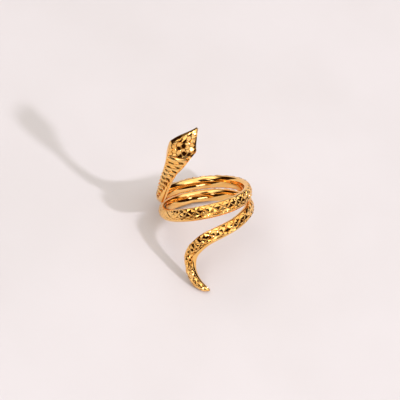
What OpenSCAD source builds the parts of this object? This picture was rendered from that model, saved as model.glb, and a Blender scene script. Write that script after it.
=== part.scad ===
// Snake ring: one casting that winds twice around the finger. The tail hangs over the knuckle on
// one side, the flat arrow-shaped head lies along the finger on the other, and the outer face is
// covered with raised lozenge scales. The underside is the finger opening itself, which opens out
// a little under the head and the tail.
//
// The body is drawn around the finger: turn is the angle around it, height the place along it.
// It is then laid down as it rests on a table: on the curl of the tail and on the lower edge of
// the lower coil at the back.

/* [Finger opening] */
// Diameter of the finger opening
bore_d = 17.3; // [15.7:0.1:19.8]
// Length of the opening's straight wall, along the finger
bore_l = 6.4; // [5:0.1:7]
// Height of the middle of the straight wall
bore_mid = -1.4; // [-2:0.1:-1]
// How far the underside has left the finger at the end of the head and of the tail
flare = 0.5; // [0.2:0.1:0.8]

/* [Body] */
// Width of the body on the coils
body_w = 3.05; // [2.8:0.05:3.3]
// Thickness of the body on the coils, from the finger to the grooves on its crown
body_t = 1.65; // [1.4:0.05:2]
// Part of the thickness that stands upright at each edge
edge_share = 0.35; // [0.2:0.05:0.5]

/* [Scales] */
// Length of one scale along the body
scale_l = 1.4; // [1.3:0.1:2.4]
// Number of scales across the body
scales_across = 5; // [4:1:6]
// Height of a scale's point above the grooves around it
scale_h = 0.14; // [0.08:0.02:0.24]

/* [Rest on a table] */
// Angle that the finger's axis leans away from upright
rest_lean = 40.7; // [30:0.1:45]
// Turn around the finger of the side that faces up
rest_turn = 21.8; // [10:0.1:30]

/* [Hidden] */

// The route of the body, tail to head. A row is one place on it.
TURN = 0;   // angle around the finger, in degrees
HEIGHT = 1; // place along the finger
WIDE = 2;   // width there over body_w
THICK = 3;  // thickness there over body_t
DOME = 4;   // 1 for a round back, near 0 for a flat one
TWIST = 5;  // turn of the back about the body's own line, in degrees
ROUTE = [
    [ -11.5, -18.50, 0.100, 0.35, 1.0,  0], // tip of the tail
    [ -18.5, -17.80, 0.460, 0.65, 1.0,  0],
    [ -26.8, -16.30, 0.670, 0.90, 1.0,  0],
    [ -31.6, -14.20, 0.720, 1.00, 1.0,  0],
    [ -32.0, -12.00, 0.790, 1.00, 1.0,  0], // the tail's bend
    [ -29.0, -10.00, 0.900, 1.00, 1.0,  0],
    [ -21.6,  -8.40, 0.960, 1.00, 1.0,  0],
    [  -6.5,  -6.60, 0.970, 1.00, 1.0,  0],
    [  14.0,  -5.50, 0.950, 1.00, 1.0,  0],
    [  38.5,  -4.70, 0.940, 1.00, 1.0,  0],
    [  63.0,  -4.00, 1.000, 1.00, 1.0,  0],
    [  90.0,  -3.70, 0.980, 1.00, 1.0,  0],
    [ 135.0,  -3.40, 0.910, 1.00, 1.0,  0], // lower coil, behind the finger
    [ 180.0,  -3.10, 0.900, 1.00, 1.0,  0],
    [ 187.0,  -3.04, 0.900, 1.00, 1.0,  0],
    [ 197.0,  -2.87, 0.855, 1.00, 1.0,  0], // the lower edge's flat, which the ring rests on
    [ 207.0,  -2.86, 0.900, 1.00, 1.0,  0],
    [ 225.0,  -2.70, 0.900, 1.00, 1.0,  0],
    [ 270.0,  -2.10, 0.900, 1.00, 1.0,  0],
    [ 300.0,  -1.60, 0.900, 1.00, 1.0,  0],
    [ 330.0,  -0.90, 0.960, 1.00, 1.0,  0],
    [ 360.0,  -0.40, 1.020, 1.00, 1.0,  0], // front crossing
    [ 390.0,  -0.20, 1.050, 1.00, 1.0,  0],
    [ 420.0,  -0.20, 1.020, 1.00, 1.0,  0],
    [ 450.0,  -0.20, 0.980, 1.00, 1.0,  0],
    [ 495.0,  -0.10, 0.910, 1.00, 1.0,  0], // upper coil, behind the finger
    [ 540.0,   0.00, 0.900, 1.00, 1.0,  0],
    [ 585.0,   0.35, 0.900, 1.00, 1.0,  0],
    [ 615.0,   0.90, 0.920, 1.02, 1.0,  0],
    [ 635.5,   1.70, 0.920, 1.06, 1.0,  0],
    [ 650.0,   3.30, 0.870, 1.08, 1.0,  3], // foot of the neck
    [ 661.5,   5.60, 0.870, 1.02, 0.9,  8],
    [ 672.3,   8.10, 0.940, 0.98, 0.8, 14],
    [ 678.4,   9.55, 1.040, 1.00, 0.6, 21],
    [ 686.5,  11.50, 1.420, 1.07, 0.4, 28],
    [ 693.7,  13.50, 1.780, 1.11, 0.3, 32],
    [ 698.0,  14.60, 1.960, 1.11, 0.3, 33],
    [ 701.2,  15.26, 2.020, 1.08, 0.3, 33], // widest place of the head
    [ 707.8,  16.38, 1.480, 0.97, 0.4, 33],
    [ 722.9,  18.45, 0.050, 0.45, 0.6, 33], // nose
];

bore_r = bore_d / 2;
// Distance along the finger from the end of the straight wall to the nose or the tip of the tail
flare_run = 16;
// How far the section reaches below its underside, into the opening that trims it
bite = 0.5;
// Width of the section at its foot over its full width
under = 0.8;
// Half of one scale along the body: the lattice of the relief has a row of points at each
half_scale = scale_l / 2;
across = 2 * scales_across;
// Steps at which each stretch of the route is measured
measure = 12;

// Distance from the finger's surface to the underside
function stand_off(height) =
    flare * max(0, abs(height - bore_mid) - bore_l / 2) / flare_run;

// A smooth curve through the rows: t counts them from 0
function row(k) = ROUTE[max(0, min(len(ROUTE) - 1, k))];
function curve(a, b, c, d, u) =
    b + (c - a) * u / 2 + (2 * a - 5 * b + 4 * c - d) * u * u / 2
    + (3 * b - a - 3 * c + d) * u * u * u / 2;
function along(t) =
    let (k = max(0, min(len(ROUTE) - 2, floor(t))))
    curve(row(k - 1), row(k), row(k + 1), row(k + 2), t - k);
function on_finger(v) =
    let (r = bore_r + stand_off(v[HEIGHT]))
    [r * sin(v[TURN]), -r * cos(v[TURN]), v[HEIGHT]];

// The route measured out, so that the scales are all one length
last = len(ROUTE) - 1;
walk = [for (i = [0 : measure * last]) on_finger(along(i / measure))];
milestones = [for (i = 0, run = 0; i < len(walk);
    run = run + (i + 1 < len(walk) ? norm(walk[i + 1] - walk[i]) : 0), i = i + 1)
    [run, i / measure]];
length = milestones[len(milestones) - 1][0];
rows = 2 * round(length / half_scale / 2);

function unit(v) = v / norm(v);
// Place, direction across and direction outwards at t
function frame(t) =
    let (v = along(t),
         ahead = unit(on_finger(along(t + 0.02)) - on_finger(along(t - 0.02))),
         radial = [sin(v[TURN]), -cos(v[TURN]), 0],
         out = unit(radial - (radial * ahead) * ahead),
         side = cross(ahead, out), c = cos(v[TWIST]), s = sin(v[TWIST]))
    [on_finger(v), side * c - out * s, out * c + side * s];

// One section: the scaled back from edge to edge, then the underside
function section(i) =
    let (t = lookup(i * length / rows, milestones), v = along(t), f = frame(t),
         w = body_w * v[WIDE] / 2, h = body_t * v[THICK], wall = h * edge_share,
         relief = scale_h * min(1, v[WIDE] * v[WIDE]))
    concat(
        [for (j = [0 : across])
            let (a = 180 * j / across - 90,
                 up = wall + (h - wall) * pow(max(0, cos(a)), 0.25 + 0.6 * v[DOME]),
                 inner = j > 0 && j < across,
                 lift = inner && (i + j) % 2 == 0 ? relief : 0)
            f[0] + f[1] * (w + lift) * sin(a) + f[2] * (up + lift * cos(a))],
        [f[0] + f[1] * w * under - f[2] * bite, f[0] - f[1] * w * under - f[2] * bite]);

skin = [for (i = [0 : rows]) each section(i)];
around = across + 3;
function id(i, j) = i * around + j % around;
// The groove between two scales runs from one low point to the next
function patch(i, j) =
    (i + j) % 2 == 0
    ? [[id(i, j), id(i + 1, j), id(i, j + 1)], [id(i + 1, j), id(i + 1, j + 1), id(i, j + 1)]]
    : [[id(i, j), id(i + 1, j), id(i + 1, j + 1)], [id(i, j), id(i + 1, j + 1), id(i, j + 1)]];
faces = concat(
    [[for (j = [0 : around - 1]) id(0, j)]],
    [for (i = [0 : rows - 1], j = [0 : around - 1]) each patch(i, j)],
    [[for (j = [around - 1 : -1 : 0]) id(rows, j)]]);

// How a point of the back lies on a table, and the middle of the base there
function laid(p) =
    let (x = p[0] * cos(rest_turn) + p[1] * sin(rest_turn),
         y = p[1] * cos(rest_turn) - p[0] * sin(rest_turn))
    [x, y * cos(rest_lean) + p[2] * sin(rest_lean), p[2] * cos(rest_lean) - y * sin(rest_lean)];
lying = [for (i = [0 : rows], j = [0 : across]) laid(skin[id(i, j)])];
function side(k, s) = max([for (p = lying) s * p[k]]);
base = [(side(0, 1) - side(0, -1)) / 2, (side(1, 1) - side(1, -1)) / 2, -side(2, -1)];

module finger() {
    wall_top = bore_mid + bore_l / 2;
    wall_foot = bore_mid - bore_l / 2;
    run = flare_run + 4;
    wide = bore_r + flare * run / flare_run;
    rotate([0, 0, 200])
        rotate_extrude($fn = 180)
            polygon([[0, wall_foot - run], [wide, wall_foot - run], [bore_r, wall_foot],
                [bore_r, wall_top], [wide, wall_top + run], [0, wall_top + run]]);
}

module snake_ring() {
    color("gold")
        translate(-base)
            rotate([-rest_lean, 0, 0])
                rotate([0, 0, -rest_turn])
                    difference() {
                        polyhedron(skin, faces, convexity = 10);
                        finger();
                    }
}

snake_ring();
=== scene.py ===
"""Snake ring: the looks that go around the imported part.

One polished casting winds twice around the finger. Its outer face is covered with raised lozenge
scales, the neck with wider scales that overlap towards the tail, and the flat head with plates.
"""

from __future__ import annotations

import logging
import math
import random
from bisect import bisect_right
from dataclasses import dataclass, field, fields
from enum import Enum
from typing import Any, Callable

import bmesh
import bpy
from bmesh.types import BMEdge, BMesh, BMFace, BMVert
from mathutils import Matrix, Vector


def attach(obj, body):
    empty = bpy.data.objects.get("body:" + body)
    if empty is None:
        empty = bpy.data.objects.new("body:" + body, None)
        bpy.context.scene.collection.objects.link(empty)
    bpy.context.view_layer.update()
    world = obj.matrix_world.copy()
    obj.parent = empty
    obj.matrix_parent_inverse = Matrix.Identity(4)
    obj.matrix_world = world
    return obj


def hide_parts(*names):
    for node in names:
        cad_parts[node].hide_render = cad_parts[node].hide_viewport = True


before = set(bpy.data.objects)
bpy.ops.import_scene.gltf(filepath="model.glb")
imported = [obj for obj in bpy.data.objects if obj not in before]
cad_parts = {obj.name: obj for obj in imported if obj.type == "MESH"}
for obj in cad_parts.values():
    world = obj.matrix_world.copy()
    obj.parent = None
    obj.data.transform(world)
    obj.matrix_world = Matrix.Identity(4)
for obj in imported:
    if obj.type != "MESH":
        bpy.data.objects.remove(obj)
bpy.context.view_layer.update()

MM = 0.001
NODE = "snake_ring"
IMAGE_WIDTH = 400
SENSOR = 36.0
# Half of the back's girth on the coils, from crown to edge: the flat sheets are drawn to it
HALF_GIRTH = 2.5
# Where a flat sheet's scales end and its plain rim begins, as a share of that and in mm
SCALED = 0.6
SIDE = SCALED * HALF_GIRTH
# Points that are nearer to each other become one, in mm
MERGE = 1e-3
# Places on a flat sheet that differ by less are the same, in mm
NEAR = 1e-4

# What the relief leaves on the points for the finish: height, which also sets the grooves' painted
# shade, a scale's own tone, inner face
LAYERS = ("relief", "tone", "inner")

Colour = tuple[float, float, float, float]
Triple = tuple[float, float, float]

log = logging.getLogger(NODE)


class Part(Enum):
    """The stretches of the body, which carry different relief."""

    BODY = "body"
    NECK = "neck"
    HEAD = "head"


# ---- the route of the body


@dataclass(frozen=True)
class Stop:
    """One place on the route, or a mix of several.

    Args:
        turn: angle around the finger, in degrees.
        height: place along the finger, in mm.
        wide: width there over the body's.
        thick: thickness there over the body's.
        dome: 1 for a round back, near 0 for a flat one.
        twist: turn of the back about the body's own line, in degrees.
    """

    turn: float
    height: float
    wide: float
    thick: float = 1.0
    dome: float = 1.0
    twist: float = 0.0

    def mixed(self, others: list[Stop], shares: list[float]) -> Stop:
        """The weighted sum of this stop and others, where this one's share comes first."""
        rows = [self, *others]
        return Stop(*(sum(s * getattr(r, f.name) for r, s in zip(rows, shares))
                      for f in fields(self)))


# The route, tail to head. A row leaves out what it shares with the plain coils
STOPS = tuple(Stop(*row) for row in (
    (-11.5, -18.50, 0.100, 0.35),  # tip of the tail
    (-18.5, -17.80, 0.460, 0.65),
    (-26.8, -16.30, 0.670, 0.90),
    (-31.6, -14.20, 0.720),
    (-32.0, -12.00, 0.790),  # the tail's bend
    (-29.0, -10.00, 0.900),
    (-21.6, -8.40, 0.960),
    (-6.5, -6.60, 0.970),
    (14.0, -5.50, 0.950),
    (38.5, -4.70, 0.940),
    (63.0, -4.00, 1.000),
    (90.0, -3.70, 0.980),
    (135.0, -3.40, 0.910),  # lower coil, behind the finger
    (180.0, -3.10, 0.900),
    (187.0, -3.04, 0.900),
    (197.0, -2.87, 0.855),  # the lower edge's flat, which the ring rests on
    (207.0, -2.86, 0.900),
    (225.0, -2.70, 0.900),
    (270.0, -2.10, 0.900),
    (300.0, -1.60, 0.900),
    (330.0, -0.90, 0.960),
    (360.0, -0.40, 1.020),  # front crossing
    (390.0, -0.20, 1.050),
    (420.0, -0.20, 1.020),
    (450.0, -0.20, 0.980),
    (495.0, -0.10, 0.910),  # upper coil, behind the finger
    (540.0, 0.00, 0.900),
    (585.0, 0.35, 0.900),
    (615.0, 0.90, 0.920, 1.02),
    (635.5, 1.70, 0.920, 1.06),
    (650.0, 3.30, 0.870, 1.08, 1.0, 3),  # foot of the neck
    (661.5, 5.60, 0.870, 1.02, 0.9, 8),
    (672.3, 8.10, 0.940, 0.98, 0.8, 14),
    (678.4, 9.55, 1.040, 1.00, 0.6, 21),
    (686.5, 11.50, 1.420, 1.07, 0.4, 28),
    (693.7, 13.50, 1.780, 1.11, 0.3, 32),
    (698.0, 14.60, 1.960, 1.11, 0.3, 33),
    (701.2, 15.26, 2.020, 1.08, 0.3, 33),  # widest place of the head
    (707.8, 16.38, 1.480, 0.97, 0.4, 33),
    (722.9, 18.45, 0.050, 0.45, 0.6, 33),  # nose
))


@dataclass(frozen=True)
class Opening:
    """The finger opening, which the underside follows. Sizes in mm: past a straight wall of this
    length around its middle, the underside leaves the finger by flare over flare_run."""

    diameter: float = 17.3
    length: float = 6.4
    middle: float = -1.4
    flare: float = 0.5
    flare_run: float = 16.0

    def radius_at(self, height: float) -> float:
        """Distance from the finger's axis to the underside at a height, in mm."""
        past = max(0.0, abs(height - self.middle) - self.length / 2)
        return self.diameter / 2 + self.flare * past / self.flare_run


@dataclass(frozen=True)
class Spot:
    """A place on the route: its point, the directions across and outwards, and its stop."""

    place: Vector
    across: Vector
    out: Vector
    stop: Stop


@dataclass
class Route:
    """The line of the body around the finger, measured from the tail's tip in mm.

    Args:
        stops: the places on the route, tail to head.
        measure: steps at which each stretch between two stops is measured.
        step: how far ahead and behind the body's direction is taken, in stops.
        digits: decimals of a distance that count.
    """

    opening: Opening = field(default_factory=Opening)
    stops: tuple[Stop, ...] = STOPS
    measure: int = 12
    step: float = 0.02
    digits: int = 5
    runs: list[float] = field(init=False)
    spots: dict[float, Spot] = field(init=False, default_factory=dict)

    def __post_init__(self) -> None:
        """Measures the route out."""
        count = self.measure * (len(self.stops) - 1)
        walk = [self.on_finger(self.stop_at(i / self.measure)) for i in range(count + 1)]
        self.runs = [0.0]
        for before, after in zip(walk, walk[1:]):
            self.runs.append(self.runs[-1] + (after - before).length)

    @property
    def length(self) -> float:
        """Length of the body, in mm."""
        return self.runs[-1]

    def stop_at(self, t: float) -> Stop:
        """A smooth curve through the stops.

        Args:
            t: place on the route, counted in stops from 0.

        Returns:
            The stop at that place.
        """
        last = len(self.stops) - 1
        k = max(0, min(last - 1, math.floor(t)))
        u = t - k
        a, b, c, d = (self.stops[max(0, min(last, k + n))] for n in (-1, 0, 1, 2))
        return a.mixed([b, c, d], [
            -u / 2 + u * u - u ** 3 / 2,
            1 - 2.5 * u * u + 1.5 * u ** 3,
            u / 2 + 2 * u * u - 1.5 * u ** 3,
            -u * u / 2 + u ** 3 / 2,
        ])

    def on_finger(self, stop: Stop) -> Vector:
        """The point of the underside's middle line at a stop, the finger's axis along Z, in mm."""
        radius, angle = self.opening.radius_at(stop.height), math.radians(stop.turn)
        return Vector((radius * math.sin(angle), -radius * math.cos(angle), stop.height))

    def spot(self, distance: float) -> Spot:
        """The place at a distance from the tail's tip.

        Args:
            distance: mm along the body.

        Returns:
            The spot there, kept for the next time it is asked for.
        """
        key = round(max(0.0, min(self.length, distance)), self.digits)
        if key not in self.spots:
            i = max(0, min(len(self.runs) - 2, bisect_right(self.runs, key) - 1))
            t = (i + (key - self.runs[i]) / (self.runs[i + 1] - self.runs[i])) / self.measure
            stop = self.stop_at(t)
            ahead = self.on_finger(self.stop_at(t + self.step))
            ahead = (ahead - self.on_finger(self.stop_at(t - self.step))).normalized()
            angle, twist = math.radians(stop.turn), math.radians(stop.twist)
            radial = Vector((math.sin(angle), -math.cos(angle), 0))
            out = (radial - radial.dot(ahead) * ahead).normalized()
            side = ahead.cross(out)
            self.spots[key] = Spot(
                self.on_finger(stop),
                side * math.cos(twist) - out * math.sin(twist),
                out * math.cos(twist) + side * math.sin(twist),
                stop,
            )
        return self.spots[key]


@dataclass(frozen=True)
class Lie:
    """How the ring lies on a table: the lean of the finger's axis and the turn around it, in
    degrees, and then the middle of the ring's base, in mm."""

    lean: float = 40.7
    turn: float = 21.8
    base: Triple = (-0.0790, -4.8816, -9.5411)

    def matrix(self) -> Matrix:
        """The move onto the table.

        Returns:
            The move from the upright ring, in mm, to the one that lies there, in metres.
        """
        turned = Matrix.Rotation(math.radians(-self.turn), 4, "Z")
        leaned = Matrix.Rotation(math.radians(-self.lean), 4, "X")
        moved = Matrix.Translation(-Vector(self.base))
        return Matrix.Scale(MM, 4) @ moved @ leaned @ turned


# ---- the body's section


@dataclass(frozen=True)
class Section:
    """The body's section. Sizes in mm, on the coils.

    Args:
        width: width of the body.
        thickness: thickness, from the finger to the grooves on the crown.
        edge_share: part of the thickness that stands upright at each edge.
        curve: power of the back's curve, on a flat back and how much more on a round one.
        brow: how far the head's flat top falls towards its bevel, as a share of its rise.
        flat_below: the dome value below which the top is flat.
        scaled_left: how near the edge the body's scales come on the left, as a share of the way.
        scaled_right: the same on the right, seen from outside with the head ahead.
        scaled_tail: the same on both sides of the tail's end.
        tail_from: height at which the scales begin to spread to both sides.
        tail_run: height over which they do.
        reach: how near both edges the head's plates come.
    """

    width: float = 3.05
    thickness: float = 1.65
    edge_share: float = 0.35
    curve: tuple[float, float] = (0.25, 0.6)
    brow: float = 0.18
    flat_below: float = 0.4
    scaled_left: float = 0.72
    scaled_right: float = 0.28
    scaled_tail: float = 0.62
    tail_from: float = -10.0
    tail_run: float = 5.0
    reach: float = 0.95

    def flatness(self, stop: Stop) -> float:
        """How flat the back is at a stop: 0 on the coils, 1 on the head."""
        return min(1.0, max(0.0, (1 - stop.dome) / (1 - self.flat_below)))

    def spread(self, stop: Stop, share: float) -> float:
        """Spreads a place across the flat sheet over the back.

        Args:
            stop: the place on the route.
            share: place across the sheet, 0 at the crown, -1 at the left edge and 1 at the right.

        Returns:
            The place across the back, 0 at the crown and 1 at the edge.
        """
        scaled = self.scaled_left if share < 0 else self.scaled_right
        tail = min(1.0, max(0.0, (self.tail_from - stop.height) / self.tail_run))
        scaled += (self.scaled_tail - scaled) * tail
        scaled += (self.reach - scaled) * min(1.0, 2 * self.flatness(stop))
        if abs(share) <= SCALED:
            return abs(share) * scaled / SCALED
        return scaled + (abs(share) - SCALED) * (1 - scaled) / (1 - SCALED)

    def rise(self, stop: Stop, place: float) -> float:
        """How far the back stands over the edge.

        Args:
            stop: the place on the route.
            place: place across the back, 0 at the crown and 1 at the edge.

        Returns:
            The rise as a share of the most, 0 at the edge and 1 at the crown.
        """
        angle = math.radians(90 * place)
        round_rise = max(0.0, math.cos(angle)) ** (self.curve[0] + self.curve[1] * stop.dome)
        brow = 1 - self.brow * min(1.0, place / self.reach) ** 2
        flat_rise = brow * min(1.0, (1 - place) / (1 - self.reach))
        flat = self.flatness(stop)
        return flat * flat_rise + (1 - flat) * round_rise

    def point(self, spot: Spot, share: float, lift: float) -> Vector:
        """A point of the skin.

        Args:
            spot: the place along the body.
            share: place across the sheet, 1 or -1 at an edge, 2 or -2 in the underside's middle.
            lift: how far relief stands over the skin there, in mm.

        Returns:
            The point, with the finger's axis along Z, in mm.
        """
        stop = spot.stop
        half, high = self.width * stop.wide / 2, self.thickness * stop.thick
        wall = high * self.edge_share
        if abs(share) <= 1:
            flat = self.flatness(stop)
            place = self.spread(stop, share)
            angle = math.radians(90 * place)
            reach = (1 - flat) * math.sin(angle) + flat * place
            side = math.copysign(half * reach + lift * math.sin(angle) * (1 - flat), share)
            up = wall + (high - wall) * self.rise(stop, place)
            up += lift * (math.cos(angle) * (1 - flat) + flat)
        else:
            angle = math.radians(90 * share)
            side = half * math.sin(angle)
            up = wall * (1 - abs(math.cos(angle)))
        return spot.place + spot.across * side + spot.out * up


# ---- the flat sheets of scales


@dataclass(frozen=True)
class Relief:
    """How the scales stand out of a sheet. Sizes in mm.

    Args:
        fade: the share of the relief that is left at a distance along the body.
        rings: the steps from a scale's border to its middle, each a width and a rise.
        tip: most that a scale's ends rise or fall by chance, as a share of the rise.
        rock: most that its sides do.
        seed: start of the chance draws.
        lap: how far the end towards the tail rises and the other sinks, as a share of the rise.
        peak: how far the middle stands over a scale's top.
        smallest: area in square mm under which a face stays flat.
    """

    fade: Callable[[float], float]
    rings: tuple[tuple[float, float], ...]
    tip: float
    rock: float
    seed: int
    lap: float = 0.0
    peak: float = 0.0
    smallest: float = 0.2

    @property
    def height(self) -> float:
        """Height of a scale's middle over the grooves."""
        return sum(rise for _, rise in self.rings)

    def raise_scales(self, bm: BMesh) -> None:
        """Raises every face of a flat sheet as a scale with a groove around it.

        Args:
            bm: the sheet, x along the body and y across.
        """
        tone = bm.verts.layers.float["tone"]
        relief = bm.verts.layers.float["relief"]
        plate = bm.faces.layers.int["plate"]
        draw = random.Random(self.seed)
        scales = sorted((f for f in bm.faces if f.calc_area() > self.smallest),
                        key=lambda f: tuple(round(c, 3) for c in f.calc_center_median()))
        traits = []
        for number, scale in enumerate(scales):
            middle = scale.calc_center_median()
            scale[plate] = number + 1
            traits.append((
                middle,
                max(abs(v.co.x - middle.x) for v in scale.verts),
                max(abs(v.co.y - middle.y) for v in scale.verts),
                draw.uniform(-self.tip, self.tip) - self.lap,
                draw.uniform(-self.rock, self.rock),
                draw.random(),
            ))
        for v in bm.verts:
            v.co.z = v[relief] * self.height * self.fade(v.co.x)
        risen = 0.0
        for width, rise in self.rings:
            bmesh.ops.inset_individual(bm, faces=scales, thickness=width)
            risen += rise
            for scale, (middle, length, girth, ahead, aside, own) in zip(scales, traits):
                left = self.fade(middle.x)
                for v in scale.verts:
                    share = 1 + ahead * (v.co.x - middle.x) / length
                    share += aside * (v.co.y - middle.y) / girth
                    v.co.z = max(v.co.z, risen * left * share)
                    v[tone] = own
                    v[relief] = max(v[relief], risen / self.height)
        for face in set(bm.faces) - set(scales):
            face[plate] = 0
        if self.peak:
            self.raise_peaks(bm, scales)

    def raise_peaks(self, bm: BMesh, scales: list[BMFace]) -> None:
        """Gives the top of each scale a low peak, so that it has a facet for each side.

        Args:
            bm: the sheet.
            scales: the tops of the scales.
        """
        plate = bm.faces.layers.int["plate"]
        made = bmesh.ops.poke(bm, faces=scales)
        for v in made["verts"]:
            v.co.z += self.peak * self.fade(v.co.x)
        for number, face in enumerate(made["faces"]):
            face[plate] = number + 1


@dataclass
class LozengeSheet:
    """A flat sheet of lozenge scales in staggered rows. Sizes in mm.

    Args:
        start: where the sheet begins, along the body.
        stop: where it ends.
        pitch: length of a scale.
        columns: scales side by side between the plain rims.
        relief: how the scales stand out.
        bow: how far the edges bow towards the tail, as on overlapping scales.
        slant: how far the scales slant towards the head on the left, per mm across, where the
            sheet begins and where it ends.
        worn: how shallow the grooves are, 0 to 1, which also makes their painted shade lighter,
            but for the slanted edges of bowed scales.
        marked: how far from the crown the grooves of those edges are full, with full painted
            shade.
        cuts: cuts that a bowed edge gets.
    """

    start: float
    stop: float
    pitch: float
    columns: int
    relief: Relief
    bow: float = 0.0
    slant: tuple[float, float] = (0.0, 0.0)
    worn: float = 0.0
    marked: float = 1.1
    cuts: int = 5

    def build(self) -> BMesh:
        """Builds the sheet.

        Returns:
            The flat sheet, x along the body and y across.
        """
        bm = new_sheet()
        wide = 2 * SIDE / self.columns
        rows = math.ceil((self.stop - self.start) / self.pitch) + 1
        bmesh.ops.create_circle(bm, cap_ends=True, segments=4, radius=0.5)
        bmesh.ops.scale(bm, vec=(self.pitch, wide, 1), verts=bm.verts[:])
        first = (self.start + self.pitch / 2, -wide * (self.columns - 1) / 2, 0)
        bmesh.ops.translate(bm, vec=first, verts=bm.verts[:])
        repeat(bm, (-self.pitch / 2, -wide / 2, 0), 1)
        repeat(bm, (self.pitch, 0, 0), rows)
        repeat(bm, (0, wide, 0), self.columns + 1)
        bmesh.ops.remove_doubles(bm, verts=bm.verts[:], dist=MERGE)
        trim(bm, (0, SIDE, 0), (0, 1, 0))
        trim(bm, (0, -SIDE, 0), (0, -1, 0))
        relief = bm.verts.layers.float["relief"]
        for v in bm.verts:
            v[relief] = self.worn
        if self.bow:
            self.bow_edges(bm)
        trim(bm, (self.start, 0, 0), (-1, 0, 0))
        trim(bm, (self.stop, 0, 0), (1, 0, 0))
        self.relief.raise_scales(bm)
        return bm

    def bow_edges(self, bm: BMesh) -> None:
        """Bows each edge between two scales towards the tail and slants the scales.

        Args:
            bm: the sheet, before its ends are cut.
        """
        relief = bm.verts.layers.float["relief"]
        bows: dict[BMVert, float] = {}
        for edge in [e for e in bm.edges if not e.is_boundary]:
            head, tail = edge.verts[0].co.copy(), edge.verts[1].co.copy()
            made = bmesh.ops.subdivide_edges(bm, edges=[edge], cuts=self.cuts)["geom_inner"]
            for v in (g for g in made if isinstance(g, BMVert)):
                share = (v.co - tail).length / (head - tail).length
                bows[v] = self.bow * 4 * share * (1 - share)
                # Painted shade: the edges of one slant, on the side away from the key light, keep
                # relief 0 and so get deep grooves painted fully dark
                dark = (head.x - tail.x) * (head.y - tail.y) < 0 and abs(v.co.y) < self.marked
                v[relief] = 0.0 if dark else self.worn
        for v in bm.verts:
            share = (v.co.x - self.start) / (self.stop - self.start)
            slant = self.slant[0] + (self.slant[1] - self.slant[0]) * share
            inside = abs(v.co.y) < SIDE - MERGE
            v.co.x -= slant * v.co.y * inside + bows.get(v, 0.0)


@dataclass
class PlateSheet:
    """The plates on top of the head, as a flat sheet. Sizes in mm.

    Args:
        start: where the plates begin, along the body.
        stop: the nose.
        size: width of a plate.
        scatter: most that a plate's corner moves by chance.
        snap: how near the outline a corner is moved onto it.
        step: length of the straight stretches that the outline is cut in.
        widest: most that the flat top's half width is.
        top: half of the flat top's width at a distance along the body.
        relief: how the plates stand out.
        centred: how near the middle line a corner only moves along it.
    """

    start: float
    stop: float
    size: float
    scatter: float
    snap: float
    step: float
    widest: float
    top: Callable[[float], float]
    relief: Relief
    centred: float = 0.01

    def build(self) -> BMesh:
        """Builds the sheet.

        Returns:
            The flat sheet, x along the body and y across, as wide as the others.
        """
        bm = new_sheet()
        radius = self.size / math.sqrt(3)
        rows = math.ceil((self.stop - self.start) / (3 * radius)) + 2
        columns = 2 * math.ceil(self.widest / self.size) + 1
        bmesh.ops.create_circle(bm, cap_ends=True, segments=6, radius=radius)
        bmesh.ops.rotate(bm, matrix=Matrix.Rotation(math.pi / 2, 3, "Z"), verts=bm.verts[:])
        first = (self.start - radius / 2, -self.size * (columns / 2), 0)
        bmesh.ops.translate(bm, vec=first, verts=bm.verts[:])
        repeat(bm, (1.5 * radius, self.size / 2, 0), 1)
        repeat(bm, (3 * radius, 0, 0), rows)
        repeat(bm, (0, self.size, 0), columns)
        bmesh.ops.remove_doubles(bm, verts=bm.verts[:], dist=MERGE)
        self.scatter_corners(bm)
        for v in bm.verts:
            edge = self.top(v.co.x)
            if abs(abs(v.co.y) - edge) < self.snap:
                v.co.y = math.copysign(edge, v.co.y)
        self.cut_outline(bm)
        self.relief.raise_scales(bm)
        for v in bm.verts:
            v.co.y *= SIDE / self.top(v.co.x)
        return bm

    def scatter_corners(self, bm: BMesh) -> None:
        """Moves the corners by chance, alike on the left and the right.

        Args:
            bm: the sheet.
        """
        draw = random.Random(self.relief.seed + 1)
        moves: dict[tuple[float, float], tuple[float, float]] = {}
        for v in sorted(bm.verts, key=lambda v: (round(v.co.x, 2), round(v.co.y, 2))):
            key = (round(v.co.x, 2), round(abs(v.co.y), 2))
            if key not in moves:
                moves[key] = tuple(draw.uniform(-self.scatter, self.scatter) for _ in range(2))
            ahead, aside = moves[key]
            v.co.x += ahead
            v.co.y += math.copysign(aside, v.co.y) if abs(v.co.y) > self.centred else 0

    def cut_outline(self, bm: BMesh) -> None:
        """Cuts off what lies outside the outline of the flat top, and draws the rest onto it.

        Args:
            bm: the sheet.
        """
        trim(bm, (self.start, 0, 0), (-1, 0, 0))
        trim(bm, (self.stop, 0, 0), (1, 0, 0))
        count = round((self.stop - self.start) / self.step)
        places = [self.start + (self.stop - self.start) * i / count for i in range(count + 1)]
        for x, after in zip(places, places[1:]):
            widening = self.top(after) - self.top(x)
            for side in (-1, 1):
                trim(bm, (x, side * self.top(x), 0), (-widening, side * (after - x), 0))
        near = self.snap / 4
        bmesh.ops.remove_doubles(bm, verts=bm.verts[:], dist=near)
        for v in (v for v in bm.verts if v.is_boundary):
            for end in (self.start, self.stop):
                v.co.x = end if abs(v.co.x - end) < near else v.co.x
            v.co.y = math.copysign(self.top(v.co.x), v.co.y)
        bmesh.ops.dissolve_degenerate(bm, edges=bm.edges[:], dist=MERGE)


def new_sheet() -> BMesh:
    """Starts a sheet.

    Returns:
        An empty sheet with the layers that the relief and the finish read.
    """
    bm = bmesh.new()
    bm.faces.layers.int.new("plate")
    for name in LAYERS:
        bm.verts.layers.float.new(name)
    return bm


def whole(bm: BMesh) -> list[Any]:
    """All that a mesh holds."""
    return bm.verts[:] + bm.edges[:] + bm.faces[:]


def repeat(bm: BMesh, step: Triple, times: int) -> None:
    """Adds copies of all that a sheet holds, each a step further."""
    bmesh.ops.spin(bm, geom=whole(bm), cent=(0, 0, 0), axis=(0, 0, 1), dvec=step, angle=0.0,
                   steps=times, use_duplicate=True)


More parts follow.
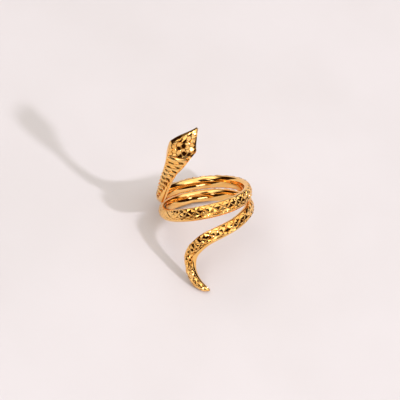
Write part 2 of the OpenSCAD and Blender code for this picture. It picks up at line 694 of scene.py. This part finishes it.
def trim(bm: BMesh, place: Triple, outwards: Triple) -> None:
    """Cuts off what lies outwards of the plane through a place."""
    bmesh.ops.bisect_plane(bm, geom=whole(bm), dist=NEAR, plane_co=place, plane_no=outwards,
                           clear_outer=True)


def placed(name: str, data: bpy.types.ID) -> bpy.types.Object:
    """Adds an object to the scene.

    Args:
        name: its name.
        data: its mesh, light or camera.

    Returns:
        The object, at the origin.
    """
    made = bpy.data.objects.new(name, data)
    bpy.context.scene.collection.objects.link(made)
    return made


def filled(name: str, bm: BMesh) -> bpy.types.Mesh:
    """Makes a mesh and frees what it is made of.

    Args:
        name: its name.
        bm: what it is made of.

    Returns:
        The mesh.
    """
    mesh = bpy.data.meshes.new(name)
    bm.to_mesh(mesh)
    bm.free()
    return mesh


# ---- shader expressions


@dataclass(frozen=True)
class Wire:
    """One output of a shader node, which adds Math nodes when it is used in an expression."""

    graph: Graph
    socket: bpy.types.NodeSocket

    def __add__(self, other: Wire | float) -> Wire:
        """The sum."""
        return self.graph.math("ADD", self, other)

    def __sub__(self, other: Wire | float) -> Wire:
        """The difference."""
        return self.graph.math("SUBTRACT", self, other)

    def __rsub__(self, other: Wire | float) -> Wire:
        """The difference the other way round."""
        return self.graph.math("SUBTRACT", other, self)

    def __mul__(self, other: Wire | float) -> Wire:
        """The product."""
        return self.graph.math("MULTIPLY", self, other)

    __radd__ = __add__
    __rmul__ = __mul__

    def __pow__(self, other: Wire | float) -> Wire:
        """The power."""
        return self.graph.math("POWER", self, other)

    def clipped(self, low: float, high: float) -> Wire:
        """Stretches low to high over 0 to 1, smoothly, and holds it there."""
        return self.graph.wire("ShaderNodeMapRange", {"interpolation_type": "SMOOTHSTEP"},
                               {0: self, 1: low, 2: high, 3: 0.0, 4: 1.0})


@dataclass(frozen=True)
class Graph:
    """A node tree that is written as expressions."""

    tree: bpy.types.NodeTree

    def __post_init__(self) -> None:
        """Empties the tree."""
        self.tree.nodes.clear()

    def node(self, kind: str, settings: dict[str, Any] | None = None,
             inputs: dict[Any, Any] | None = None) -> bpy.types.Node:
        """Adds one node.

        Args:
            kind: the node's type.
            settings: its settings, set first.
            inputs: values or wires by socket name or number.

        Returns:
            The node.
        """
        made = self.tree.nodes.new(kind)
        for name, value in (settings or {}).items():
            setattr(made, name, value)
        for name, value in (inputs or {}).items():
            if isinstance(value, Wire):
                self.tree.links.new(value.socket, made.inputs[name])
            else:
                made.inputs[name].default_value = value
        return made

    def wire(self, kind: str, settings: dict[str, Any] | None = None,
             inputs: dict[Any, Any] | None = None, output: str | int = 0) -> Wire:
        """Adds one node as above and gives one of its outputs, by name or number."""
        return Wire(self, self.node(kind, settings, inputs).outputs[output])

    def math(self, operation: str, *values: Wire | float) -> Wire:
        """One Math node on values or wires."""
        return self.wire("ShaderNodeMath", {"operation": operation}, dict(enumerate(values)))

    def mix(self, factor: Wire | float, low: Wire | tuple, high: Wire | tuple) -> Wire:
        """Mixes two colours, low where the factor is 0 and high where it is 1."""
        return self.wire("ShaderNodeMix", {"data_type": "RGBA"}, {0: factor, 6: low, 7: high}, 2)

    def dot(self, way: Wire, axis: Vector) -> Wire:
        """How far a direction goes along an axis."""
        return self.wire("ShaderNodeVectorMath", {"operation": "DOT_PRODUCT"},
                         {0: way, 1: tuple(axis)}, "Value")

    def noise(self, where: Wire, scale: float, detail: float) -> Wire:
        """Noise between 0 and 1, with so many features per unit and finer layers."""
        return self.wire("ShaderNodeTexNoise", {}, {"Vector": where, "Scale": scale,
                                                    "Detail": detail})

    def attribute(self, name: str) -> Wire:
        """The value of one of the mesh's own attributes."""
        return self.wire("ShaderNodeAttribute", {"attribute_name": name}, output="Fac")


def new_finish(name: str) -> tuple[bpy.types.Material, Graph, Wire]:
    """Starts a finish.

    Args:
        name: the material's name.

    Returns:
        The material, its empty node tree and the Object coordinates.
    """
    made = bpy.data.materials.new(name)
    made.use_nodes = True
    g = Graph(made.node_tree)
    return made, g, g.wire("ShaderNodeTexCoord", output="Object")


@dataclass(frozen=True)
class PolishedGold:
    """Yellow gold plating, polished on the tops and duller in the grooves.

    Args:
        pale: colour of the tops.
        deep: colour where the plating is warmer.
        groove_shade_and_tarnish: colour of the painted shade in the grooves, with some tarnish.
        roughness: roughness of the polished places.
        satin: how much rougher the duller places are.
        clouds: features per metre of the wandering colour.
        specks: the same of the specks in the grooves.
        wipes: the same of the polishing cloth's marks.
        hairs: how the polishing marks of the inner face are squeezed, along and across.
        scratch: strength of the marks, and their depth in metres.
    """

    pale: Colour = (1.0, 0.62, 0.22, 1)
    deep: Colour = (0.98, 0.50, 0.105, 1)
    groove_shade_and_tarnish: Colour = (0.06, 0.018, 0.001, 1)
    roughness: float = 0.035
    satin: float = 0.14
    clouds: float = 260.0
    specks: float = 1400.0
    wipes: float = 900.0
    hairs: Triple = (0.5, 60.0, 1.0)
    scratch: tuple[float, float] = (0.15, 0.00005)

    def material(self) -> bpy.types.Material:
        """Builds the finish.

        Returns:
            The material, which reads the ring's own attributes and UV map.
        """
        made, g, place = new_finish("polished_gold")
        along = g.wire("ShaderNodeUVMap", {"uv_map": "along"})
        relief, tone, inner = (g.attribute(name) for name in LAYERS)

        # The plating's colour wanders a little, and each scale has its own tone
        cloud = g.noise(place, self.clouds, 3.0)
        warm = (cloud.clipped(0.35, 0.7) * 0.6 + tone * 0.35) * (1 - inner * 0.4)
        skin = g.mix(warm, self.pale, self.deep)
        # Painted shade, with some tarnish: the grooves are painted dark, fully where the relief is
        # lowest, and specks vary it
        groove = (1 - relief.clipped(0.0, 0.6)) * (1 - inner)
        speck = g.noise(place, self.specks, 1.0).clipped(0.42, 0.56)
        colour = g.mix(groove * (speck * 0.2 + 0.8), skin, self.groove_shade_and_tarnish)

        # Polishing marks run along the body inside, the outside is wiped in all directions
        squeezed = g.wire("ShaderNodeMapping", {}, {"Vector": along, "Scale": self.hairs})
        hairs = g.noise(squeezed, 1.0, 4.0)
        wiped = g.noise(place, self.wipes, 4.0)
        dull = wiped.clipped(0.4, 0.75) * 0.5 + groove * 0.6 + hairs * inner * 0.25
        rough = dull * self.satin + self.roughness
        strength, depth = self.scratch
        bumps = g.wire("ShaderNodeBump", {}, {
            "Strength": strength, "Distance": depth,
            "Height": wiped * (1 - inner * 0.8) + hairs * inner * 0.25})
        gold = g.wire("ShaderNodeBsdfPrincipled", {}, {
            "Base Color": colour, "Metallic": 1.0, "Roughness": rough, "Normal": bumps})
        g.node("ShaderNodeOutputMaterial", {}, {"Surface": gold})
        return made


@dataclass(frozen=True)
class PaleTop:
    """The pale matt table top, with clouds and a grain of so many features per metre. Its tooth
    is the grain's strength, and its depth in metres."""

    light: Colour = (0.69, 0.655, 0.655, 1)
    shade: Colour = (0.66, 0.625, 0.62, 1)
    roughness: float = 0.7
    clouds: float = 25.0
    grain: float = 700.0
    tooth: tuple[float, float] = (0.1, 0.0002)

    def material(self) -> bpy.types.Material:
        """Builds the finish.

        Returns:
            The material, which reads Object coordinates.
        """
        made, g, place = new_finish("pale_top")
        cloud = g.noise(place, self.clouds, 3.0)
        colour = g.mix(cloud.clipped(0.3, 0.7), self.light, self.shade)
        strength, depth = self.tooth
        grain = g.noise(place, self.grain, 3.0)
        bump = g.wire("ShaderNodeBump", {}, {"Strength": strength, "Distance": depth,
                                             "Height": grain})
        top = g.wire("ShaderNodeBsdfPrincipled", {}, {
            "Base Color": colour, "Roughness": self.roughness, "Normal": bump})
        g.node("ShaderNodeOutputMaterial", {}, {"Surface": top})
        return made


# ---- the ring


@dataclass
class SnakeRing:
    """The ring: one skin, wrapped around the route.

    Args:
        route: the line of the body.
        section: the body's section.
        lie: how it lies on the table.
        finish: its finish.
        neck_start: where the neck's scales begin, in mm from the tail's tip.
        head_start: where the head's plates begin.
        body_rows: scales that the whole length would take end to end on the body.
        neck_rows: the same for the neck's.
        gap: half of the groove between two stretches.
        least: share of the relief where the body has no width.
        worn: where the relief is worn, each a place, how far it reaches and how much is gone.
        rim_lift: how far the plain rims stand over the grooves.
        smooth: cuts that each long edge gets, so that the scales follow the body.
        short: length up to which an edge stays whole, in mm.
        flatten: how far the top of each scale is flattened, 0 to 1.
        rim: places across the sheet of the plain rim's rows, 1 at the edge.
        underside: the same on the inner side, 2 in its middle.
        turn_in: share of the sheet over which the finish becomes the inner face's.
        seam: distance up to which points in the middle of the underside are joined, in mm.
    """

    route: Route = field(default_factory=Route)
    section: Section = field(default_factory=Section)
    lie: Lie = field(default_factory=Lie)
    finish: PolishedGold = field(default_factory=PolishedGold)
    neck_start: float = 114.0
    head_start: float = 126.68
    body_rows: int = 84
    neck_rows: int = 112
    gap: float = 0.05
    least: float = 0.3
    worn: tuple[Triple, ...] = ((60.0, 4.0, 0.55), (112.0, 2.5, 0.6))
    rim_lift: float = 0.12
    smooth: int = 2
    short: float = 0.2
    flatten: float = 0.85
    rim: tuple[float, ...] = (0.66, 0.74, 0.82, 0.90, 0.96, 1.0)
    underside: tuple[float, ...] = (1.02, 1.05, 1.09, 1.15, 1.22, 1.32, 1.45, 1.6, 1.8, 2.0)
    turn_in: float = 0.15
    seam: float = 0.11

    def top_half(self, distance: float) -> float:
        """Half of the scaled top's width at a distance along the body, in mm."""
        return self.section.width * self.route.spot(distance).stop.wide / 2 * self.section.reach

    def fade(self, distance: float) -> float:
        """The share of the relief that is left at a distance along the body.

        Args:
            distance: mm from the tail's tip.

        Returns:
            1 where the relief is full.
        """
        wide = self.route.spot(distance).stop.wide
        left = min(1.0, self.least + wide * wide)
        for place, reach, worn in self.worn:
            left *= 1 - worn * math.exp(-((distance - place) / reach) ** 2)
        return left

    def sheets(self) -> dict[Part, BMesh]:
        """Builds the flat sheets of the three stretches.

        Returns:
            The sheets by stretch, tail to head.
        """
        length = self.route.length
        body = LozengeSheet(
            start=0.0, stop=self.neck_start - self.gap, pitch=length / self.body_rows, columns=2,
            relief=Relief(self.fade, rings=((0.02, 0.0), (0.06, 0.12), (0.08, 0.05)), tip=0.8,
                          rock=0.8, seed=11, peak=0.10),
            worn=0.2)
        neck = LozengeSheet(
            start=self.neck_start + self.gap, stop=self.head_start - self.gap,
            pitch=length / self.neck_rows, columns=1,
            relief=Relief(self.fade, rings=((0.18, 0.0), (0.08, 0.07), (0.08, 0.03)), tip=0.12,
                          rock=0.08, seed=5, lap=0.3),
            bow=0.06, slant=(0.22, 0.08), worn=0.9)
        head = PlateSheet(
            start=self.head_start + self.gap, stop=length, size=1.0, scatter=0.16, snap=0.27,
            step=0.5, widest=3.0, top=self.top_half,
            relief=Relief(self.fade, rings=((0.03, 0.0), (0.05, 0.12), (0.07, 0.06)), tip=1.4,
                          rock=1.4, seed=47))
        return {part: sheet.build() for part, sheet in zip(Part, (body, neck, head))}

    def joined(self) -> BMesh:
        """Joins the flat sheets into one, by strips between their ends.

        Returns:
            The joined flat sheet.
        """
        skin = new_sheet()
        plate = skin.faces.layers.int["plate"]
        for part, sheet in self.sheets().items():
            last = max((f[plate] for f in skin.faces), default=0)
            own = sheet.faces.layers.int["plate"]
            for face in sheet.faces:
                face[own] += last if face[own] else 0
            carrier = filled(part.value, sheet)
            skin.from_mesh(carrier)
            bpy.data.meshes.remove(carrier)
            log.info("%s: %d faces on the flat sheet", part.value, len(skin.faces))
        for middle in (self.neck_start, self.head_start):
            ends = [e for e in skin.edges if e.is_boundary and any(
                all(abs(v.co.x - (middle + side * self.gap)) < NEAR for v in e.verts)
                for side in (-1, 1))]
            bmesh.ops.bridge_loops(skin, edges=ends)
        return skin

    def add_rims(self, bm: BMesh) -> None:
        """Draws the plain rims and the underside out of the sheet's two long sides.

        Args:
            bm: the joined flat sheet.
        """
        relief = bm.verts.layers.float["relief"]
        inner = bm.verts.layers.float["inner"]
        for v in bm.verts:
            if abs(v.co.y) > SIDE - MERGE:
                v.co.z = self.rim_lift * self.fade(v.co.x)
                v[relief] = 1.0
        edges = [e for e in bm.edges if e.is_boundary
                 and all(abs(v.co.y) > SIDE - MERGE for v in e.verts)]
        last = SCALED
        for share in self.rim + self.underside:
            made = bmesh.ops.extrude_edge_only(bm, edges=edges)["geom"]
            edges = [g for g in made if isinstance(g, BMEdge)]
            fall = max(0.0, 1 - share) / (1 - last) if last < 1 else 0.0
            for v in (g for g in made if isinstance(g, BMVert)):
                v.co.y = math.copysign(share * HALF_GIRTH, v.co.y)
                v.co.z *= fall
                v[relief] = 1.0
                v[inner] = min(1.0, max(0.0, (share - 1.0) / self.turn_in))
            last = share

    def wrap(self, bm: BMesh) -> None:
        """Wraps the flat sheet around the route and closes it.

        Args:
            bm: the flat sheet with its rims and underside.
        """
        along = bm.loops.layers.uv.new("along")
        plate = bm.faces.layers.int["plate"]
        for face in bm.faces:
            face.smooth = face[plate] == 0
            for loop in face.loops:
                loop[along].uv = (loop.vert.co.x, loop.vert.co.y)
        seam = [v for v in bm.verts if abs(v.co.y) > 2 * HALF_GIRTH - MERGE]
        for v in bm.verts:
            spot = self.route.spot(v.co.x)
            v.co = self.section.point(spot, v.co.y / HALF_GIRTH, v.co.z)
        self.flatten_plates(bm)
        bmesh.ops.remove_doubles(bm, verts=seam, dist=self.seam)
        bmesh.ops.remove_doubles(bm, verts=bm.verts[:], dist=MERGE)
        rims = [e for e in bm.edges if e.is_boundary]
        caps = bmesh.ops.holes_fill(bm, edges=rims, sides=0)["faces"]
        for face in bmesh.ops.poke(bm, faces=caps)["faces"]:
            face.smooth = True
        bmesh.ops.recalc_face_normals(bm, faces=bm.faces[:])

    def flatten_plates(self, bm: BMesh) -> None:
        """Flattens the top of each scale, which the body's curve has bent.

        Args:
            bm: the wrapped skin.
        """
        plate = bm.faces.layers.int["plate"]
        tops: dict[int, list[BMFace]] = {}
        for face in bm.faces:
            if face[plate]:
                tops.setdefault(face[plate], []).append(face)
        for faces in tops.values():
            corners = list(dict.fromkeys(v for f in faces for v in f.verts))
            middle = sum((v.co for v in corners), Vector()) / len(corners)
            for f in faces:
                f.normal_update()
            facing = sum((f.normal * f.calc_area() for f in faces), Vector()).normalized()
            for v in corners:
                v.co -= facing * (v.co - middle).dot(facing) * self.flatten

    def build(self) -> bpy.types.Object:
        """Builds the ring's mesh.

        Returns:
            Its object, at the origin, with its place in its mesh.
        """
        bm = self.joined()
        long_edges = [e for e in bm.edges if e.calc_length() > self.short]
        bmesh.ops.subdivide_edges(bm, edges=long_edges, cuts=self.smooth, use_grid_fill=True)
        self.add_rims(bm)
        self.wrap(bm)
        bm.transform(self.lie.matrix())
        open_edges = sum(1 for e in bm.edges if not e.is_manifold)
        triangles = len(bm.calc_loop_triangles())
        log.info("ring_skin: %d triangles, %d open edges", triangles, open_edges)
        return placed("ring_skin", filled("ring_skin", bm))

    def dress(self, ring: bpy.types.Object) -> None:
        """Gives the ring its finish and its place in the frame.

        Args:
            ring: the ring's object.
        """
        ring.data.materials.append(self.finish.material())
        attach(ring, "root")
        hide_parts(NODE)


# ---- table, light and camera


@dataclass(frozen=True)
class Bearing:
    """A place in the room, seen from the ring.

    Args:
        azimuth: degrees from +X towards +Y.
        elevation: degrees above the table.
    """

    azimuth: float
    elevation: float

    def axes(self) -> tuple[Vector, Vector, Vector]:
        """The directions at that place.

        Returns:
            The unit vectors that go level, upright and away from the ring.
        """
        a, e = math.radians(self.azimuth), math.radians(self.elevation)
        away = Vector((math.cos(e) * math.cos(a), math.cos(e) * math.sin(a), math.sin(e)))
        level = Vector((0, 0, 1)).cross(away).normalized()
        return level, away.cross(level), away


@dataclass
class Tabletop:
    """The plain pale floor, a many-sided disc. Its radius is in metres."""

    radius: float = 0.6
    sides: int = 96
    finish: PaleTop = field(default_factory=PaleTop)

    def build(self) -> None:
        """Builds the floor and gives it its finish."""
        bm = bmesh.new()
        bmesh.ops.create_circle(bm, cap_ends=True, segments=self.sides, radius=self.radius)
        top = placed("tabletop", filled("tabletop", bm))
        top.data.materials.append(self.finish.material())


@dataclass(frozen=True)
class Panel(Bearing):
    """A soft light panel that faces the ring and that the camera doesn't see.

    Args:
        distance: metres from the ring.
        size: width and height in metres.
        power: watts.
        colour: colour of its light.
    """

    distance: float
    size: tuple[float, float]
    power: float
    colour: Triple = (0.97, 0.95, 1.06)

    def build(self, name: str, aim: Vector) -> None:
        """Builds the light.

        Args:
            name: the light's name.
            aim: the point it faces.
        """
        data = bpy.data.lights.new(name, "AREA")
        data.shape = "RECTANGLE"
        data.size, data.size_y = self.size
        data.energy, data.color = self.power, self.colour
        light = placed(name, data)
        light.visible_camera = False
        away = self.axes()[2]
        light.location = aim + away * self.distance
        light.rotation_euler = away.to_track_quat("Z", "Y").to_euler()


@dataclass(frozen=True)
class Patch(Bearing):
    """A patch of the dome that is darker or brighter, which polished metal mirrors.

    Args:
        wide: half of its width, in degrees.
        high: half of its height, in degrees.
        dark: share of the dome's light that it takes. Below 0 it adds light.
        soft: width of its soft edge, as a share of its size.
        square: how square its corners are, 2 for an ellipse.
        front: cosine from which it counts, so that it isn't behind the ring as well.
    """

    wide: float
    high: float
    dark: float
    soft: float = 0.4
    square: float = 4.0
    front: float = 0.1

    def shade(self, g: Graph, way: Wire) -> Wire:
        """What the patch makes of the dome's light.

        Args:
            g: the world's node tree.
            way: the direction looked in.

        Returns:
            1 outside the patch, less inside a dark one and more inside a bright one.
        """
        level, upright, middle = self.axes()
        aside = g.dot(way, level) * (1 / math.sin(math.radians(self.wide)))
        above = g.dot(way, upright) * (1 / math.sin(math.radians(self.high)))
        far = g.math("ABSOLUTE", aside) ** self.square
        far = far + g.math("ABSOLUTE", above) ** self.square
        inside = 1 - far.clipped(1 - self.soft, 1 + self.soft)
        front = g.dot(way, middle).clipped(0.0, self.front)
        return 1 - inside * front * self.dark


@dataclass
class Studio:
    """The room around the ring and its lights.

    Args:
        aim: the point that the panels face, in metres.
        dome: colour of the sky above.
        horizon: colour of the sky around, which the camera doesn't see.
        wall: colour that the camera sees behind the table.
        rise: heights of the sky between which the horizon turns into the dome, 1 overhead.
        panels: one key light and the soft panels, by name.
        patches: the darker and brighter patches of the sky.
    """

    aim: Vector = field(default_factory=lambda: Vector((0, 0, 0.012)))
    dome: Colour = (1.39, 1.335, 1.285, 1)
    horizon: Colour = (0.026, 0.011, 0.003, 1)
    wall: Colour = (0.80, 0.77, 0.755, 1)
    rise: tuple[float, float] = (0.515, 0.745)
    panels: dict[str, Panel] = field(default_factory=lambda: {
        "key": Panel(-59.0, 35.0, 1.5, (0.08, 0.08), 12.0),
        "window": Panel(-104.0, 9.0, 0.6, (0.25, 0.08), 0.26),
        "side": Panel(-145.0, 26.0, 0.6, (0.11, 0.07), 0.09),
        "front": Panel(-67.0, 23.0, 0.6, (0.09, 0.07), 0.075),
    })
    patches: tuple[Patch, ...] = (
        Patch(-128.0, 50.0, 12.0, 18.0, 0.97),
        Patch(-59.0, 46.0, 13.0, 11.0, -1.2),
        Patch(98.0, 44.0, 16.0, 8.0, -3.0),
        Patch(-172.0, 52.0, 14.0, 10.0, -1.2),
    )

    def build(self) -> None:
        """Builds the lights and the world."""
        for name, panel in self.panels.items():
            panel.build(name, self.aim)
        world = bpy.data.worlds.new("studio")
        bpy.context.scene.world = world
        world.use_nodes = True
        g = Graph(world.node_tree)
        way = g.wire("ShaderNodeTexCoord", output="Generated")
        height = g.dot(way, Vector((0, 0, 1)))
        colour = g.mix(height.clipped(*self.rise), self.horizon, self.dome)
        strength: Wire | float = 1.0
        for patch in self.patches:
            strength = patch.shade(g, way) * strength
        sky = g.wire("ShaderNodeBackground", {}, {"Color": colour, "Strength": strength})
        wall = g.wire("ShaderNodeBackground", {}, {"Color": self.wall, "Strength": 1.0})
        seen = g.wire("ShaderNodeLightPath", output="Is Camera Ray")
        both = g.wire("ShaderNodeMixShader", {}, {0: seen, 1: sky, 2: wall})
        g.node("ShaderNodeOutputWorld", {}, {"Surface": both})


@dataclass(frozen=True)
class PhotoCamera(Bearing):
    """The camera at the photograph's angle. Aim and distance in mm.

    Args:
        aim: the point in the middle of the picture.
        roll: degrees that the picture is turned.
        distance: from the camera to the aim.
        focal: focal length in picture widths.
    """

    azimuth: float = -127.764
    elevation: float = 55.015
    aim: Triple = (-3.288, 1.642, 14.199)
    roll: float = 16.484
    distance: float = 293.53
    focal: float = 1365.0 / IMAGE_WIDTH

    def build(self) -> None:
        """Builds the camera and makes it the scene's."""
        data = bpy.data.cameras.new("camera")
        data.sensor_width = SENSOR
        data.lens = SENSOR * self.focal
        data.clip_start, data.clip_end = 0.01, 10.0
        camera = placed("camera", data)
        facing = self.axes()
        roll = Matrix.Rotation(math.radians(self.roll), 3, "Z")
        camera.rotation_euler = (Matrix(facing).transposed() @ roll).to_euler()
        camera.location = (Vector(self.aim) + facing[2] * self.distance) * MM
        bpy.context.scene.camera = camera


def main() -> None:
    """Builds the ring, the table, the light and the camera."""
    logging.basicConfig(level=logging.INFO, format="%(name)s: %(message)s")
    bpy.context.scene.view_settings.view_transform = "Standard"
    PhotoCamera().build()
    ring = SnakeRing()
    piece = ring.build()
    ring.dress(piece)
    Tabletop().build()
    log.info("tabletop built")
    Studio().build()
    log.info("studio built")


if __name__ == "__main__":
    main()
